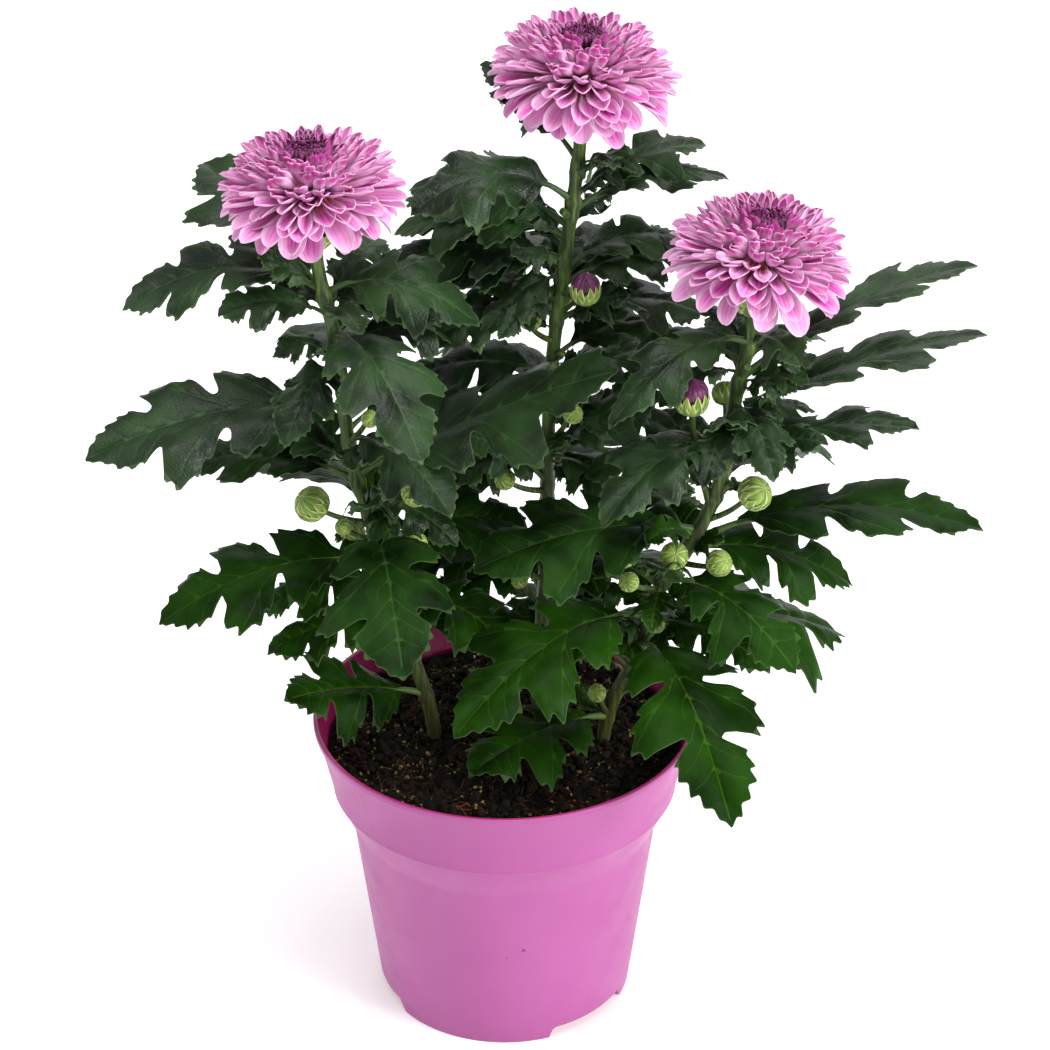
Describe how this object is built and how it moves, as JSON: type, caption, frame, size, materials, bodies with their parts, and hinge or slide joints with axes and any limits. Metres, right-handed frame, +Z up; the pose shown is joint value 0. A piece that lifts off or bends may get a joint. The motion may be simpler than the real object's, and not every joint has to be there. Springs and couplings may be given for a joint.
{
  "type": "pot chrysanthemum",
  "caption": "Potted chrysanthemum with large domed pink blooms on leafy stems, small buds and dark soil in a pink plastic nursery pot.",
  "frame": {"origin": "middle of the pot's underside, on the surface that it stands on", "axes": "+Z up along the pot's axis, -Y to the front of the plant as pictured, +X to its right"},
  "size_m": [0.2867, 0.1665, 0.3491],
  "materials": {
    "pot_plastic": "satin moulded polypropylene, pink through and through, deeper pink inside",
    "potting_soil": "damp dark potting soil with crumbs of bark and peat",
    "foliage": "living green leaf and stem, satin and veined",
    "florets": "soft pink petals, pale at the edge and deeper in the throat",
    "bloom_eye": "tightly curled dark magenta florets",
    "bud_florets": "closed magenta florets of an opening bud"
  },
  "bodies": {
    "root": {"pot": "pot_plastic", "soil": "potting_soil", "stem_left": "foliage", "stem_middle": "foliage", "stem_right": "foliage", "bloom_left": "florets", "bloom_middle": "florets", "bloom_right": "florets", "eye_left": "bloom_eye", "eye_middle": "bloom_eye", "eye_right": "bloom_eye", "pink_bud_1": "bud_florets", "pink_bud_2": "bud_florets", "pink_bud_3": "bud_florets"}
  },
  "joints": []
}
